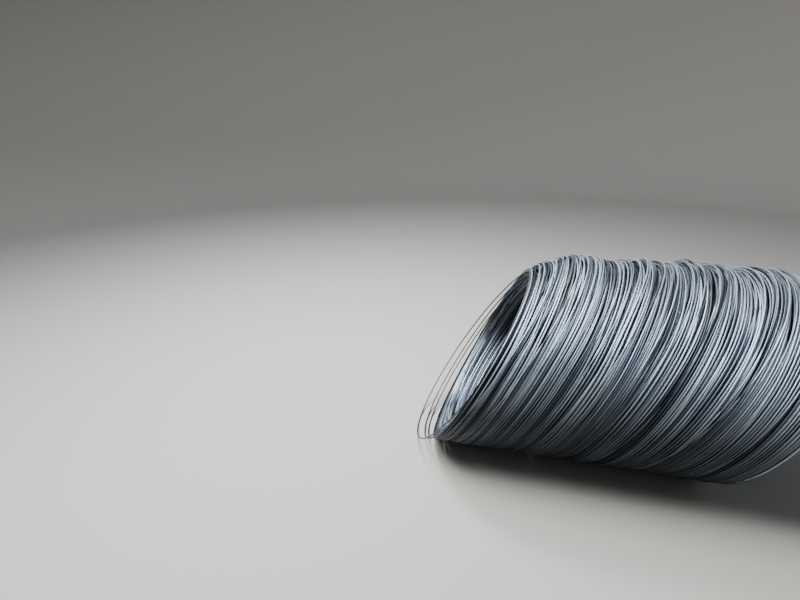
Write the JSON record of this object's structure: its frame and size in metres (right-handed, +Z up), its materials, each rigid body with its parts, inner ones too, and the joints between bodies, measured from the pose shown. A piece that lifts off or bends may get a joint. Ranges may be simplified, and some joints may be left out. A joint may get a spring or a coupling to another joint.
{
  "type": "coil of wire rod",
  "caption": "Coil of steel wire rod lying on its side, its turns leaning back from an open mouth, clear through the bore.",
  "frame": {"origin": "on the floor under the middle of the coil's box", "axes": "+X along the bore away from the mouth, +Y to the side where the mouth fans out, +Z up from the floor"},
  "size_m": [2.0732, 1.2321, 1.0979],
  "materials": {
    "wire": "hot-rolled mill scale"
  },
  "bodies": {
    "root": {"wire_rod_coil": "wire"}
  },
  "joints": []
}
